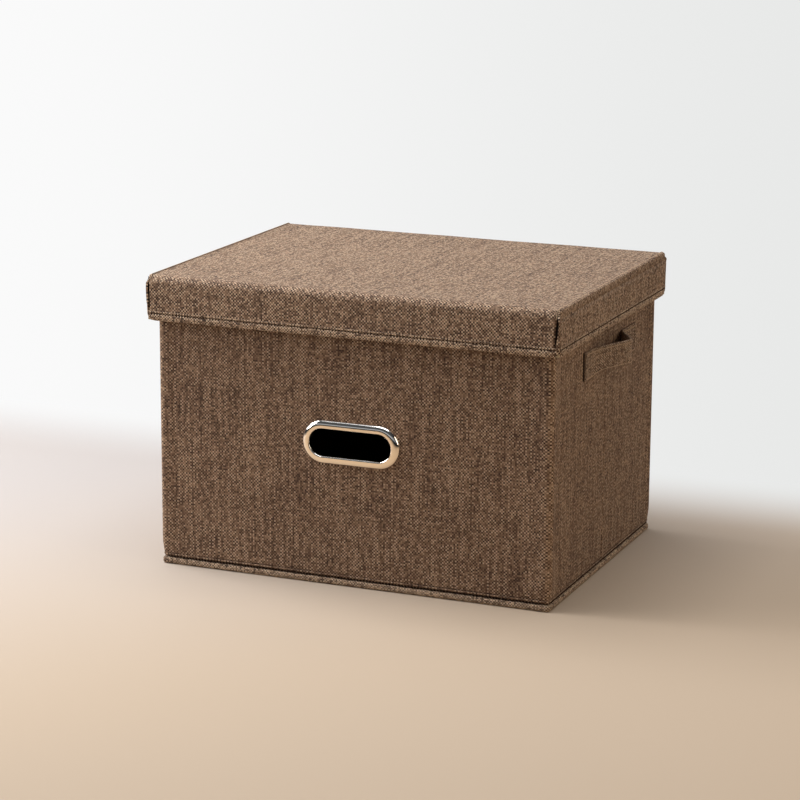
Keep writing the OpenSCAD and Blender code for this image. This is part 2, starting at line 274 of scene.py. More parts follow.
def smooth(share):
    share = min(max(share, 0), 1)
    return share * share * (3 - 2 * share)


def stitches(name, line, material, thick=0.5 * MM, share=0.74):
    """A row of thread stitches along a line of (point, way out of the cloth). Each dips in at its ends."""
    steps = [math.dist(a[0], b[0]) for a, b in zip(line, line[1:])]
    total, reach = sum(steps), [0]
    for step in steps:
        reach.append(reach[-1] + step)

    def at(length):
        length = min(max(length, 0), total)
        k = next((i for i in range(len(steps)) if reach[i + 1] >= length), len(steps) - 1)
        t = (length - reach[k]) / max(steps[k], TINY * MM)
        return line[k][0].lerp(line[k + 1][0], t), line[k][1].lerp(line[k + 1][1], t).normalized()

    count = max(1, int(total / STITCH_PITCH))
    sides, last = STITCH_SIDES, len(STITCH_RINGS) - 1
    points, faces = [], []
    for number in range(count):
        middle = (number + 0.5) * total / count
        base, start = len(points), number * STITCH_PITCH
        ahead = (at(middle + STITCH_PITCH / 2)[0] - at(middle - STITCH_PITCH / 2)[0]).normalized()
        for along, rise, fat in STITCH_RINGS:
            place, out = at(middle + along * STITCH_PITCH * share)
            side = ahead.cross(out).normalized()
            for angle in (2 * math.pi * s / sides for s in range(sides)):
                points.append(place + out * thick * (rise + 0.5 * fat * math.sin(angle))
                              + side * thick * 0.5 * fat * math.cos(angle))
        faces += quads(last, sides, lambda r, s: (base + r * sides + s % sides, (start + r * MM, s * MM)))
        faces += [[(base + r * sides + s, (start, s * MM)) for s in range(sides)] for r in (0, last)]
    return mesh_piece(name, points, faces, material, 60)


def thicken(piece, thickness):
    """Gives a surface its thickness, on its inner side."""
    layer = piece.modifiers.new("thickness", "SOLIDIFY")
    layer.thickness = thickness
    layer.offset = -1


def ring_piece(name, rings, material, thickness):
    """A sheet of closed rings, each (Outline, height, distance on from the ring before), the last one filled
    in."""
    points, uvs = [], []
    for outline, z, wrapped in rings:
        marks = [0, *outline.bends, outline.length]
        for i, (a, b) in enumerate(zip(marks, marks[1:])):
            count = ARC_STEPS if i % 2 else RING_STEPS[i // 2]
            for k in range(count):
                place, out = outline.at(a + (b - a) * k / count)
                points.append(place + UP * z)
                uvs.append((place + out * wrapped).xy)
    size = len(points) // len(rings)

    def corner(r, k):
        number = r * size + k % size
        return number, uvs[number]

    last = len(rings) - 1
    faces = [*quads(last, size, corner), [corner(last, k) for k in range(size)]]
    piece = mesh_piece(name, points, faces, material)
    thicken(piece, thickness)
    return piece


def ride_or_bend(piece, rides):
    """Rides on a body if rides names one. If rides is (body, body, start, end), it only bakes the piece's
    transform into its mesh.
    """
    if isinstance(rides, str):
        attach(piece, rides)
    else:
        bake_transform(piece)


def stand_for(piece, nodes, slot, rides, flat=None, rests_on=()):
    """Hides the CAD nodes that a piece replaces and passes the piece to ride_or_bend. The slot, flat and
    rests_on arguments are not used.
    """
    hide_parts(*nodes)
    ride_or_bend(piece, rides)


def cut(piece, cutter):
    """Cuts one closed mesh out of a piece and throws the cutter away."""
    hole = piece.modifiers.new("hole", "BOOLEAN")
    hole.object = cutter
    hole.solver = "EXACT"
    bpy.context.view_layer.update()
    done = bpy.data.meshes.new_from_object(piece.evaluated_get(bpy.context.evaluated_depsgraph_get()))
    piece.modifiers.clear()
    piece.data = done
    bpy.data.objects.remove(cutter)


# ---------- Shader nodes ----------
def put(tree, made, inputs):
    """Gives a shader node its inputs, as values or as the sockets they come from."""
    for key, value in inputs.items():
        if isinstance(value, bpy.types.NodeSocket):
            tree.links.new(value, made.inputs[key])
        else:
            made.inputs[key].default_value = value
    return made


def node(tree, kind, inputs=None, **settings):
    """A shader node with its settings and its inputs."""
    made = tree.nodes.new(kind)
    for key, value in settings.items():
        setattr(made, key, value)
    return put(tree, made, inputs or {})


def sums(tree, operation, *values):
    return node(tree, "ShaderNodeMath", dict(enumerate(values)), operation=operation).outputs[0]


def times(tree, a, b):
    return sums(tree, "MULTIPLY", a, b)


def times_plus(tree, a, b, c):
    """a times b, plus c."""
    return sums(tree, "MULTIPLY_ADD", a, b, c)


def tinted(tree, a, b):
    """Two colours multiplied."""
    return node(tree, "ShaderNodeVectorMath", {0: a, 1: b}, operation="MULTIPLY").outputs[0]


def vector(tree, x, y, z=0.0):
    return node(tree, "ShaderNodeCombineXYZ", {0: x, 1: y, 2: z}).outputs[0]


def axes_of(tree, value):
    """The x, y and z of a vector."""
    return node(tree, "ShaderNodeSeparateXYZ", {0: value}).outputs


def place_of(tree, kind="Object"):
    return node(tree, "ShaderNodeTexCoord").outputs[kind]


def uv_of(tree):
    return node(tree, "ShaderNodeUVMap", uv_map="UVMap").outputs[0]


def grain(tree, place, scale=1.0, detail=2.0, rough=0.5):
    return node(tree, "ShaderNodeTexNoise", {"Vector": place, "Scale": scale, "Detail": detail,
                                             "Roughness": rough}).outputs["Fac"]


def blend_of(tree, share, a, b):
    """a where share is 0 and b where it is 1."""
    return node(tree, "ShaderNodeMix", {0: share, 2: a, 3: b}, data_type="FLOAT").outputs[0]


def share_of(tree, value, start, stop, lowest=0.0, highest=1.0):
    """A smooth step from lowest to highest as a value goes from start to stop."""
    limits = {"Value": value, "From Min": start, "From Max": stop, "To Min": lowest, "To Max": highest}
    return node(tree, "ShaderNodeMapRange", limits, interpolation_type="SMOOTHSTEP").outputs[0]


def ramp(tree, value, stops):
    made = node(tree, "ShaderNodeValToRGB", {0: value})
    elements = made.color_ramp.elements
    while len(elements) < len(stops):
        elements.new(0.5)
    for element, (place, colour) in zip(elements, stops):
        element.position = place
        element.color = (*colour, 1)
    return made.outputs[0]


def shades(tree, value, colour, *stops):
    """One colour from dark to pale: each stop is (value, strength of the colour)."""
    return ramp(tree, value, [(at, [c * strength for c in colour]) for at, strength in stops])


def srgb(r, g, b):
    """A colour given as it looks on the screen, 0 to 255, in linear light."""
    return tuple((c / 255 / 12.92) if c < 10 else ((c / 255 + 0.055) / 1.055) ** 2.4 for c in (r, g, b))


# ---------- Materials ----------
def new_material(name):
    material = bpy.data.materials.new(name)
    material.use_nodes = True
    return material, material.node_tree


def surface(material, colour, rough, height, depth, gloss=0.5, metal=0.0, strength=1.0):
    """Finishes a material: its colour, its roughness, and a relief of some depth from a height."""
    tree = material.node_tree
    bump = node(tree, "ShaderNodeBump", {"Height": height, "Distance": depth, "Strength": strength})
    put(tree, tree.nodes["Principled BSDF"], {
        "Base Color": colour, "Roughness": rough, "Metallic": metal, "Specular IOR Level": gloss,
        "Normal": bump.outputs[0]})
    return material


def woven(name, stops, yarn=YARN, contrast=0.7, streaks=1.35, corner=None):
    """Plain weave of heather yarns over the UV map. Each yarn changes colour along its length and passes over
    and under its neighbours. Painted shade darkens the gaps between yarns, and the tone step between warp and
    weft is partly the yarns' own colour and partly painted shading from side light. A painted highlight makes
    the cloth paler on upright corners at corner, where their rounding catches the light."""
    material, tree = new_material(name)
    map_axes = axes_of(tree, uv_of(tree))
    u = sums(tree, "DIVIDE", map_axes[0], yarn)
    v = sums(tree, "DIVIDE", map_axes[1], yarn)
    a = times_plus(tree, grain(tree, vector(tree, u, v), 0.11, 1.0), 0.4, u)
    b = times_plus(tree, grain(tree, vector(tree, u, v, 9.0), 0.11, 1.0), 0.4, v)
    warp_number, weft_number = sums(tree, "FLOOR", a), sums(tree, "FLOOR", b)
    weave = times(tree, *(sums(tree, "SINE", times(tree, way, math.pi)) for way in (a, b)))
    over = sums(tree, "GREATER_THAN", weave, 0.0)

    def centred(value):
        return sums(tree, "SUBTRACT", value, 0.5)

    def along_yarns(across, along, detail, warp_share, weft_share):
        """Noise about 0 that follows whichever yarn lies on top, stretched along it."""
        found = []
        for number, length, share, seed in (
                (weft_number, a, weft_share, 5.0), (warp_number, b, warp_share, 11.0)):
            spot = vector(tree, times(tree, number, across), times(tree, length, along), seed)
            found.append(times(tree, centred(grain(tree, spot, 1.0, detail)), share))
        return blend_of(tree, over, *found)

    speck = node(tree, "ShaderNodeTexWhiteNoise", {"Vector": vector(tree, warp_number, weft_number, 3.0)},
                 noise_dimensions="3D").outputs["Value"]
    fibre = along_yarns(5.3, 4.0, 2.0, 1.0, 1.0)
    cloud = grain(tree, vector(tree, u, v, 31.0), 0.035, 2.0)
    shade = 0.5
    for value, amount in (
            (along_yarns(7.31, 0.6, 1.0, 0.5, 0.4), contrast),
            (along_yarns(3.17, 0.025, 0.0, streaks, streaks * 0.45), contrast),
            (centred(speck), 0.8 * contrast),
            # the warp and weft tone step is partly the yarns' own colour, partly painted shading from side
            # light
            (centred(over), 0.6 * contrast),
            (fibre, 0.5 * contrast),
            (centred(cloud), 0.048)):
        shade = times_plus(tree, value, amount, shade)
    # painted highlight: paler cloth near the upright corners, as if their rounding caught the light
    if corner:
        spot = axes_of(tree, place_of(tree))
        near = [share_of(tree, sums(tree, "ABSOLUTE", spot[axis]), at - 7 * MM, at - 1 * MM)
                for axis, at in enumerate(corner)]
        shade = times_plus(tree, times(tree, *near), 0.1, shade)
    # painted shade: the colour is darkened in the gaps between yarns
    rise = sums(tree, "POWER", sums(tree, "ABSOLUTE", weave), 0.55)
    light = times_plus(tree, rise, 0.3, 0.6)
    colour = tinted(tree, ramp(tree, shade, stops), vector(tree, light, light, light))
    return surface(material, colour, times_plus(tree, fibre, 0.3, 0.8), times_plus(tree, fibre, 0.22, rise),
                   0.3 * MM, gloss=0.35)


def thread(name, colour):
    """Twisted sewing thread."""
    material, tree = new_material(name)
    twist = node(tree, "ShaderNodeTexWave", {"Vector": place_of(tree), "Scale": 900.0, "Distortion": 2.0},
                 bands_direction="DIAGONAL").outputs["Fac"]
    twisted = shades(tree, twist, colour, (0, 0.6), (1, 1.25))
    return surface(material, twisted, 0.7, twist, 0.08 * MM, gloss=0.1)


def felt(name, colour):
    """Thin bonded lining with a fine embossed dot pattern. Made near-black, it also serves as painted shade.
    """
    material, tree = new_material(name)
    place = uv_of(tree)
    dots = node(tree, "ShaderNodeTexVoronoi", {"Vector": place, "Scale": 900.0, "Randomness": 0.25},
                feature="F1").outputs["Distance"]
    fluff = grain(tree, place, 2600.0, 4.0, 0.7)
    cloud = grain(tree, place, 30.0, 2.0)
    shade = sums(tree, "ADD", times(tree, fluff, 0.7), times(tree, cloud, 0.3))
    return surface(material, shades(tree, shade, colour, (0.25, 0.6), (0.5, 1), (0.8, 1.5)), 0.9,
                   times_plus(tree, fluff, 0.4, dots), 0.15 * MM, gloss=0.1)


def greyboard(name, colour):
    """Pressed board with long fibres and darker flecks."""
    material, tree = new_material(name)
    place = place_of(tree)
    fibres = grain(tree, place, 700.0, 5.0, 0.7)
    flecks = node(tree, "ShaderNodeTexVoronoi", {"Vector": place, "Scale": 260.0}).outputs["Distance"]
    shade = times_plus(tree, flecks, 0.3, times(tree, fibres, 0.8))
    return surface(material, shades(tree, shade, colour, (0.2, 0.55), (0.45, 1), (0.8, 1.3)), 0.88,
                   fibres, 0.12 * MM)


def chrome(name):
    """Polished plated metal with faint rubbing marks."""
    material, tree = new_material(name)
    place = place_of(tree)
    smudge = grain(tree, place, 60.0, 3.0)
    colour = ramp(tree, smudge, [(0.2, (0.86, 0.84, 0.8)), (0.8, (0.95, 0.94, 0.92))])
    return surface(material, colour, times_plus(tree, smudge, 0.12, 0.02), grain(tree, place, 900.0, 2.0),
                   0.01 * MM, metal=1.0, strength=0.3)


def heather(tint, *colours):
    """Five screen colours of a heather cloth from dark to pale, each multiplied by a tint."""
    return [(at, [part * share for part, share in zip(srgb(*colour), tint)])
            for at, colour in zip((0.06, 0.28, 0.5, 0.72, 0.94), colours)]


CLOTH_COLOURS = ((52, 35, 27), (88, 65, 52), (133, 105, 84), (170, 140, 115), (206, 178, 151))
TAPE_COLOURS = ((60, 44, 36), (106, 85, 72), (154, 130, 111), (194, 168, 146), (228, 205, 182))
PLAIN = (1, 1, 1)

# corner: a painted highlight, paler cloth on the upright corners where their rounding catches the light
body_cloth = woven("body_cloth", heather((1, 0.97, 0.93), *CLOTH_COLOURS), contrast=0.66,
                   corner=(WALL_X, WALL_Y))
# painted light: the body's cloth made brighter, so that the lid looks as brightly lit as its top
lid_cloth = woven("lid_cloth", heather((1.14, 1.14, 1.12), *CLOTH_COLOURS), contrast=0.8, streaks=0.9)
strap_cloth = woven("strap_cloth", heather(PLAIN, *CLOTH_COLOURS), yarn=1.4 * MM, contrast=0.9)
tape_cloth = woven("tape_cloth", heather((1.08, 1.02, 0.93), *TAPE_COLOURS), yarn=1.4 * MM, contrast=1.1)
base_fabric = woven("base_fabric", heather(PLAIN, *CLOTH_COLOURS))
lining_felt = felt("lining_felt", srgb(92, 76, 62))
board_stock = greyboard("board_stock", srgb(168, 148, 118))
ring_chrome = chrome("ring_chrome")
dark_thread = thread("dark_thread", srgb(46, 33, 26))
pale_thread = thread("pale_thread", srgb(186, 160, 134))
# painted shade: near-black felt put in slits, slots and along a seam, where there is only shade
painted_shadow_cloth = felt("painted_shadow_cloth", srgb(24, 16, 12))

# ---------- Walls ----------
CORNER_R = 6.5 * MM  # roundness of the body's upright corners
CLOTH_R = 4 * MM  # roundness of the outer cloth, which stands off those corners
CORNER_BOW = 1.3 * MM  # how far the outer cloth bows out along them, between its foot and its rim
body = Outline(WALL_X, WALL_Y, CORNER_R)
ARC = body.lengths[1]
FRONT_END = body.lengths[0]
RIGHT_START = FRONT_END + ARC
RIGHT_CREASE = RIGHT_START + body.y
RIGHT_END = RIGHT_START + 2 * body.y
BACK_START = RIGHT_END + ARC
BACK_END = BACK_START + 2 * body.x
LEFT_START = BACK_END + ARC
LEFT_CREASE = LEFT_START + body.y
LEFT_END = LEFT_START + 2 * body.y
BENDS = ((FRONT_END, RIGHT_START), (RIGHT_END, BACK_START), (BACK_END, LEFT_START),
         (LEFT_END - body.length, -FRONT_END), (LEFT_END, LEFT_END + ARC))
CREASES = (RIGHT_CREASE, LEFT_CREASE)

SEAM_UP = 3.2 * MM  # height of the foot seam's stitches over the covers' lower edge
HEM_OUT = 0.45 * MM  # how far the rim hem stands out from the wall
HEM_LEG = 9 * MM  # height of the rim hem's outer leg
HEM_INSIDE = -WALL_T - 0.3 * MM  # face of the rim hem's inner leg, from the wall's outer face
CREASE_DEPTH = 0.5 * MM  # depth of the crease pressed down the middle of a side wall
CREASE_HALF = 2.2 * MM  # distance from a crease to the flat cloth beside it
TONGUE_R = 1.8 * MM  # distance from the corner's hinge to the face of the tongue under the corner's cloth
TONGUE_TURN = math.radians(86)  # how far the tongue goes round that hinge
FOOT_ROLL = mm((-0.9, 0), (-0.75, 0.7), (0, 1.3), (0.2, 1.9), (0.05, 2.6), (-0.45, 3.2), (-0.1, 4.2), (0, 6))
COVER_PATH = filled([*((x, COVER_LOW + z) for x, z in FOOT_ROLL), (0, COVER_TOP)])
HEM_PATH = filled(bent([(HEM_OUT, RIM_Z - HEM_LEG), (HEM_OUT, RIM_Z), (HEM_INSIDE, RIM_Z),
                        (HEM_INSIDE, LINING_TOP - 3 * MM)], 1.5 * MM))
LINING_PATH = filled([(-WALL_T, LINING_TOP), (-WALL_T, COVER_LOW)])
body_wave = wave(70 * MM, 0.35 * MM, 3)


def under_hem(z):
    """1 down the wall, falling to 0 where the rim hem holds the cloth against it."""
    return smooth((RIM_Z - HEM_LEG - 5 * MM - z) / (8 * MM))


def corner_bulge(u, z):
    """How far the outer cloth stands off a rounded corner."""
    share = next(((u - a) / (b - a) for a, b in BENDS if a < u < b), 0)
    from_wall = QUARTER * min(share, 1 - share)
    bulge = CORNER_R / math.cos(from_wall) - CORNER_R
    if CORNER_R * math.tan(from_wall) > CORNER_R - CLOTH_R:
        turn = math.pi / 4 - from_wall
        centre = math.sqrt(2) * (CORNER_R - CLOTH_R)
        bulge = centre * math.cos(turn) + math.sqrt(CLOTH_R ** 2 - (centre * math.sin(turn)) ** 2) - CORNER_R
    return bulge * under_hem(z)


def wall_relief(u, z):
    """Height of the body's cloth over its flat wall: tight corners that bow out, soft waves, two creases."""
    side = min(max(a - u, u - b, 0) for a, b in BENDS)
    edge = max(min(z - COVER_LOW - 5 * MM, RIM_Z - HEM_LEG - z), 0)
    height = body_wave(u, z) * smooth(min(side, edge) / (16 * MM))
    upright = smooth((z - COVER_LOW - 2 * MM) / (14 * MM)) * under_hem(z)
    bow = CORNER_BOW * (1 - smooth(side / (7 * MM))) * upright
    fold = min(abs(u - crease) for crease in CREASES)
    return height + corner_bulge(u, z) + bow - CREASE_DEPTH * (1 - smooth(fold / CREASE_HALF))


LAYERS = (  # name, CAD nodes and slot, path, thickness, material, relief, start of the UV map's height
    ("cloth", "cover", "cloth", COVER_PATH, CLOTH_T, body_cloth, wall_relief, COVER_LOW),
    ("hem", "rim_hem", "cloth", HEM_PATH, LINING_T, body_cloth, None, RIM_Z),
    ("lining_sheet", "lining", "lining", LINING_PATH, LINING_T, lining_felt, None, 0),
)
SEAMS = (  # name, distance out of the wall, height, way it faces, thickness of its thread
    ("foot_seam", -0.4 * MM, COVER_LOW + SEAM_UP, 1, 0.6 * MM),
    # the next row is thick, close dark stitching in the foot's groove: partly thread, partly painted shade
    # for the groove's shadow
    ("foot_shade_cord", -0.7 * MM, COVER_LOW + 0.2 * MM, 1, 1.3 * MM),
    ("hem_seam", HEM_OUT, RIM_Z - HEM_LEG + 1.5 * MM, 1, 0.5 * MM),
    ("turned_seam", HEM_INSIDE, LINING_TOP, -1, 0.4 * MM),
)
SIDES = ("front", "right_front", "right_rear", "back", "left_rear", "left_front")
HINGES = (  # hinge strip after each side but the last, with the start and stop of its bend
    ("right_front_corner", FRONT_END, RIGHT_START),
    ("right_middle", RIGHT_CREASE - CREASE_HALF, RIGHT_CREASE + CREASE_HALF),
    ("right_rear_corner", RIGHT_END, BACK_START),
    ("left_rear_corner", BACK_END, LEFT_START),
    ("left_middle", LEFT_CREASE - CREASE_HALF, LEFT_CREASE + CREASE_HALF),
)
OPEN_FLAT = 3 * FLAT  # front wall beside the open corner, which that corner's cloth covers
PANEL_STARTS = (OPEN_FLAT - FRONT_END, *(stop + FLAT for _, _, stop in HINGES))
PANEL_STOPS = (*(start - FLAT for _, start, _ in HINGES), LEFT_END)


def body_of(side):
    return {"front": "front_wall", "back": "back_and_base"}.get(side, side)


def wall_layer(name, stations, rides, sides, layer):
    """One sheet of a wall along its stations."""
    ending, kind, slot, path, thickness, material, relief, first_v = layer
    piece = sweep(f"{name}_{ending}", stations, shell(path, thickness), material,
                  ripple=relief, first_v=first_v)
    depth = (path[0][0] + path[-1][0]) / 2
    line = [place + out * depth for place, out, _, _ in stations]
    width = sum((b - a).length for a, b in zip(line, line[1:]))
    stand_for(piece, [f"{side}_{kind}" for side in sides], slot, rides, (width, length_of(path)),
              [f"{side}_board" for side in sides])
    return piece


def wall(name, stations, rides, sides, tongue=()):
    """Cover, rim hem and lining, with their seams, of one wall or of the hinge strip between two walls. It
    gives the cover and the lining, which a hand hole goes through."""
    cover = wall_layer(name, [*stations, *tongue], rides, sides, LAYERS[0])
    wall_layer(name, stations, rides, sides, LAYERS[1])
    lining = wall_layer(name, stations, rides, sides, LAYERS[2])
    for ending, depth, z, faces, thick in SEAMS:
        line = [(place + out * depth + up * z, out * faces) for place, out, up, _ in stations]
        ride_or_bend(stitches(f"{name}_{ending}", line, dark_thread, thick=thick), rides)
    return cover, lining


def stretch(start, stop):
    """Stations along the body, with some across each crease."""
    marks = [crease + way * CREASE_HALF * part for crease in CREASES
             for way in (-1, 1) for part in (0.25, 0.5, 0.75, 1)]
    return body.stations(start, stop, marks=marks)


def open_corner():
    """The corner where the ring of walls is opened. The front wall's cloth runs round it to the left wall,
    whose own cloth goes on under it as a tongue, so that the corner stays closed as the wall turns."""
    stations = stretch(LEFT_END, LEFT_END + ARC + OPEN_FLAT)
    wall("left_front_corner", stations, "front_wall", ("left_front", "front"))
    pivot = Vector((-HINGE_X, -HINGE_Y, 0))
    tongue = []
    for turn in spread(0, TONGUE_TURN, TONGUE_TURN / 6):
        out = Vector((-math.cos(turn), -math.sin(turn), 0))
        tongue.append((pivot + out * TONGUE_R, out, UP, LEFT_END + turn * WALL_T + 1 * MM))
    return tongue


walls = {}
for side, start, stop in zip(SIDES, PANEL_STARTS, PANEL_STOPS):
    tongue = open_corner() if side == "left_front" else ()
    walls[side] = wall(f"{side}_wall", stretch(start, stop), body_of(side), (side,), tongue)
for (name, start, stop), *sides in zip(HINGES, SIDES, SIDES[1:]):
    bend = (*map(body_of, sides), body.at(start)[0], body.at(stop)[0])
    wall(name, stretch(start - FLAT, stop + FLAT), bend, sides)

# ---------- Hand hole ----------
ring_low, ring_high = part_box("hand_hole_ring")
RING_Z = (ring_low.z + ring_high.z) / 2
RING_OUTER = (ring_high.z - ring_low.z) / 2
RING_STRAIGHT = ring_high.x - RING_OUTER
RING_RISE = -WALL_Y - ring_low.y
FLANGE_W = 7.6 * MM
SLOPE_W = FLANGE_W * 2 / 3  # outer part of the flange, which slopes down to the cloth
LIP_R = 1.4 * MM  # rounding of the flange into the hole
SLEEVE_T = 1 * MM
SLEEVE_BACK = -WALL_T - 1.2 * MM  # where the sleeve's rolled end starts, behind the wall
ROLL_R = 0.8 * MM  # roundness of that rolled end
RING_R = RING_OUTER - FLANGE_W


def oval():
    """Stations round the edge of the hand hole, out of the wall being up."""
    edge = Outline(RING_STRAIGHT + RING_R, RING_R, RING_R)
    stations = []
    for place, flat_out, _, u in edge.stations(0, edge.length, 4.2 * MM, arc_steps=28):
        out = Vector((flat_out.x, 0, flat_out.y))
        spot = Vector((place.x, -WALL_Y, RING_Z + place.y)) - out * RING_R
        stations.append((spot, out, Vector((0, -1, 0)), u))
    return stations


def cut_hand_hole(piece):
    """Cuts the hole through one layer of the front wall."""
    reach = RING_R + SLEEVE_T + 0.3 * MM
    stations = oval()[:-1]
    points = [place + out * reach + up * h for place, out, up, _ in stations for h in (-20 * MM, 20 * MM)]
    count = len(stations)
    faces = [[2 * i, 2 * i + 1, 2 * ((i + 1) % count) + 1, 2 * ((i + 1) % count)] for i in range(count)]
    faces += [range(side, 2 * count, 2) for side in (0, 1)]
    mapped = [[(number, (0, 0)) for number in face] for face in faces]
    cut(piece, mesh_piece("hand_hole_cutter", points, mapped, body_cloth))


def add_ring():
    """Rounded ring in the hole: a bowed flange, a lip, and a sleeve that is rolled out behind the wall."""
    bow = (RING_RISE ** 2 + SLOPE_W ** 2) / (2 * RING_RISE)
    crown = RING_R + FLANGE_W - SLOPE_W
    sleeve = RING_R + SLEEVE_T
    flange = [(crown + bow * math.sin(a), RING_RISE - bow + bow * math.cos(a))
              for a in spread(math.asin(SLOPE_W / bow), 0, 0.07)]
    flange += [(RING_R + LIP_R - LIP_R * math.sin(a), RING_RISE - LIP_R + LIP_R * math.cos(a))
               for a in spread(0, QUARTER, math.pi / 18)]
    roll = [(sleeve + ROLL_R * math.cos(math.radians(a)), SLEEVE_BACK + ROLL_R * math.sin(math.radians(a)))
            for a in range(270, 361, 15)]
    section = [*flange, *filled([flange[-1], (RING_R, SLEEVE_BACK - ROLL_R * 0.6)], 1.5 * MM)[1:],
               (RING_R + 0.25 * MM, SLEEVE_BACK - ROLL_R), *roll, (sleeve, SLEEVE_BACK), (sleeve, 0.05 * MM)]
    ring = sweep("hand_hole_ring_chrome", oval(), section, ring_chrome, closed=True, sharp=50)
    stand_for(ring, ["hand_hole_ring"], "chrome", "front_wall")


for layer in walls["front"]:
    cut_hand_hole(layer)
add_ring()

# ---------- Foot ----------
foot_low = low("base_cloth")
BASE_X, BASE_Y, BASE_Z = high("base_cloth")
FOOT_R = 3.4 * MM  # roundness of the binding's corners
FOOT_SECTION = mm((-3, 0), (-2, 0), (-0.8, 0.4), (0, 1.2), (0.25, 2.4), (0.25, 4.2), (0.05, 5.2),
                  (-0.45, 5.9), (-1.4, 6.2), (-3, 6.2))


def add_foot():
    """Bound seam round the foot, and the base cloth inside it."""
    edge = Outline(FOOT_X, FOOT_Y, FOOT_R)
    uneven = wave(9 * MM, 0.22 * MM, 12)

    def ripple(u, z):
        return uneven(abs(u - edge.length / 2), z) if z > 0.1 * MM else 0

    binding = sweep("foot_binding", edge.stations(0, edge.length, 4 * MM), FOOT_SECTION, tape_cloth,
                    closed=True, ripple=ripple)
    stand_for(binding, ["base_binding"], "tape", "back_and_base")
    middle = (foot_low.z + BASE_Z) / 2
    rings = [(Outline(BASE_X - inset * MM, BASE_Y - inset * MM, 1 * MM), middle, 0)
             for inset in (0, 10, 40, 90)]
    base = ring_piece("base_sheet", rings, base_fabric, BASE_Z - foot_low.z)
    stand_for(base, ["base_cloth"], "cloth", "back_and_base", (2 * BASE_X, 2 * BASE_Y), [binding.name])
    for piece in (binding, base):
        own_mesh(piece)


def add_base_board_cloth():
    """Cloth over the loose base board, turned under along the board's edges."""
    bottom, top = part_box("base_board_cover")
    thick, turned = 0.7 * MM, 25 * MM
    half_x, half_y, radius = top.x - thick / 2, top.y - thick / 2, 6 * MM
    z_low, z_high = bottom.z + thick / 2, top.z - thick / 2
    side = z_high - z_low
    rings = []
    for inset, z in (
            (24, z_low), (10, z_low), (1, z_low), (0.3, z_low + 0.25 * MM), (0, z_low + 0.9 * MM),
            (0, z_high - 0.9 * MM), (0.3, z_high - 0.25 * MM), (1, z_high), (10, z_high), (50, z_high),
            (100, z_high)):
        inset *= MM
        rings.append((Outline(half_x - inset, half_y - inset, max(radius - inset, 1 * MM)), z, 0.0))
    cloth = ring_piece("base_board_cloth", rings, body_cloth, thick)
    stand_for(cloth, ["base_board_cover"], "cloth", "back_and_base",
              (2 * (top.x + side + turned), 2 * (top.y + side + turned)), ["base_board"])


def add_base_board_backing():
    """Thin backing under the base board, between the turned edges of its cloth."""
    bottom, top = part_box("base_board_backing")
    rings = [(Outline(top.x - inset * MM, top.y - inset * MM, 2 * MM), (bottom.z + top.z) / 2, 0)
             for inset in (0.1, 20, 80)]
    backing = ring_piece("base_board_lining", rings, lining_felt, top.z - bottom.z)
    stand_for(backing, ["base_board_backing"], "lining", "back_and_base", (2 * top.x, 2 * top.y),
              ["base_board"])


add_foot()
add_base_board_cloth()
add_base_board_backing()

# ---------- Strap handles ----------
strap_low, strap_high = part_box("strap_right")
STRAP_W = strap_high.z - strap_low.z
STRAP_Y = (strap_low.y + strap_high.y) / 2
STRAP_Z = (strap_low.z + strap_high.z) / 2
STRAP_BOW = strap_high.x - WALL_X
STRAP_T = 2 * MM
STRAP_REACH = (strap_high.y - strap_low.y) / 2
STRAP_LOOP_W = 22 * MM  # width of the strap in its loop, where it is gathered from below
NEAR_TAB, FAR_TAB = 10 * MM, 36 * MM  # flat length sewn to the wall at each end
NEAR_BEND, FAR_BEND = 60 * MM, 14 * MM  # inner radius where the loop leaves the wall at each end
CROWN_BEND = 9 * MM  # inner radius at the top of the loop
PILLOW = (  # half of the strap's outer face from its edge: shares of its half thickness and half width
    (0.55, 1), (0.95, 0.965), (1.12, 0.9), (0.86, 0.79), (1.02, 0.66), (1.06, 0.4), (1.08, 0))


def loop_half(tab, foot_bend):
    """Half of the strap's middle line in plan: (along the wall, out of the wall)."""
    out = STRAP_T / 2
    span = STRAP_REACH - tab
    rise = STRAP_BOW - STRAP_T
    radii = foot_bend + CROWN_BEND + STRAP_T
    slope = math.atan2(rise - radii, span) + math.asin(radii / math.hypot(span, rise - radii))

    def bend_at(x, y, r, start, stop):
        return [(x + r * math.cos(angle), y + r * math.sin(angle))
                for angle in spread(start, stop, abs(stop - start) / 8)]

    return filled([*bend_at(0, rise - CROWN_BEND, CROWN_BEND + out, QUARTER, QUARTER - slope),
                   *bend_at(span, foot_bend + STRAP_T, foot_bend + STRAP_T - out, -QUARTER - slope, -QUARTER),
                   (STRAP_REACH, out)], 3 * MM)


def strap_stations(side):
    """Places along the middle of the strap's thickness, on the right (1) or left (-1) wall."""
    near = [(-x, y) for x, y in loop_half(NEAR_TAB, NEAR_BEND)]
    line = near[:0:-1] + loop_half(FAR_TAB, FAR_BEND)
    stations, u = [], 0
    for i, (along, out) in enumerate(line):
        ahead = heading(line, i)
        if i:
            u += math.dist(line[i - 1], line[i])
        place = Vector((side * (WALL_X + out), STRAP_Y + along, STRAP_Z))
        stations.append((place, Vector((side * ahead.x, -ahead.y, 0)), UP, u))
    return stations


def gathered(y, z):
    """A height on the strap after its loop is gathered from below, with its upper edge kept."""
    share = smooth((STRAP_REACH - 12 * MM - abs(y - STRAP_Y)) / (24 * MM))
    width = STRAP_W + (STRAP_LOOP_W - STRAP_W) * share
    return strap_high.z - (strap_high.z - z) * width / STRAP_W


